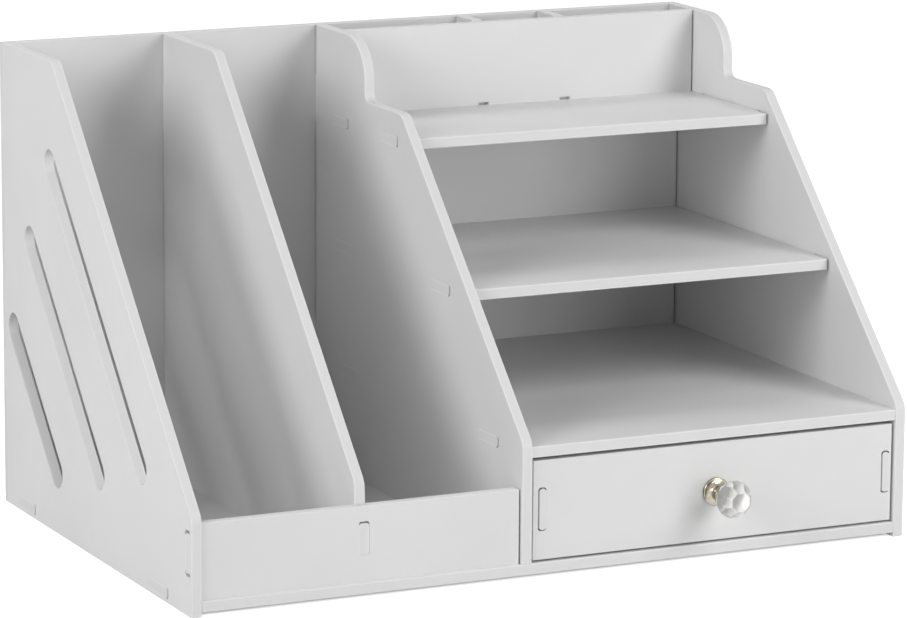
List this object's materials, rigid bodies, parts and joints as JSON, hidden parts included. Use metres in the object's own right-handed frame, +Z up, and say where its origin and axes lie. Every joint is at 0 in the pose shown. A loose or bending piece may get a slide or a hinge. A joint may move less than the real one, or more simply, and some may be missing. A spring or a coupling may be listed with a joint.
{
  "type": "envelope sorter with drawer",
  "caption": "Flat-pack desk organizer with sloping envelope slots beside stepped open trays, narrow pen bays along the back and a sliding drawer with a cut-crystal knob.",
  "frame": {"origin": "middle of the footprint on the desk, with the knob counted in the depth", "axes": "+X to the right seen from the front, along the longest side; +Y from the front to the back; +Z up"},
  "size_m": [0.41, 0.2944, 0.2538],
  "materials": {
    "board": "smooth matt foamed board, cut edges lightly rounded",
    "brass": "polished pale brass",
    "crystal": "clear, flat cut facets",
    "screw": "zinc plated"
  },
  "bodies": {
    "housing": {"base_board": "board", "back_board": "board", "left_end_panel": "board", "file_divider": "board", "centre_panel": "board", "right_end_panel": "board", "front_fence": "board", "lower_shelf": "board", "middle_shelf": "board", "upper_shelf": "board", "tray_back_wall": "board", "pen_partition": "board", "pen_divider_left": "board", "pen_divider_right": "board"},
    "drawer": {"drawer_front": "board", "drawer_left_side": "board", "drawer_right_side": "board", "drawer_bottom": "board", "drawer_back": "board", "knob_base": "brass", "knob_crystal": "crystal", "knob_screw": "screw"}
  },
  "joints": [
    {"name": "drawer_slide", "type": "slide", "parent": "housing", "child": "drawer", "axis": [0, -1, 0], "range_m": [0, 0.18]}
  ]
}
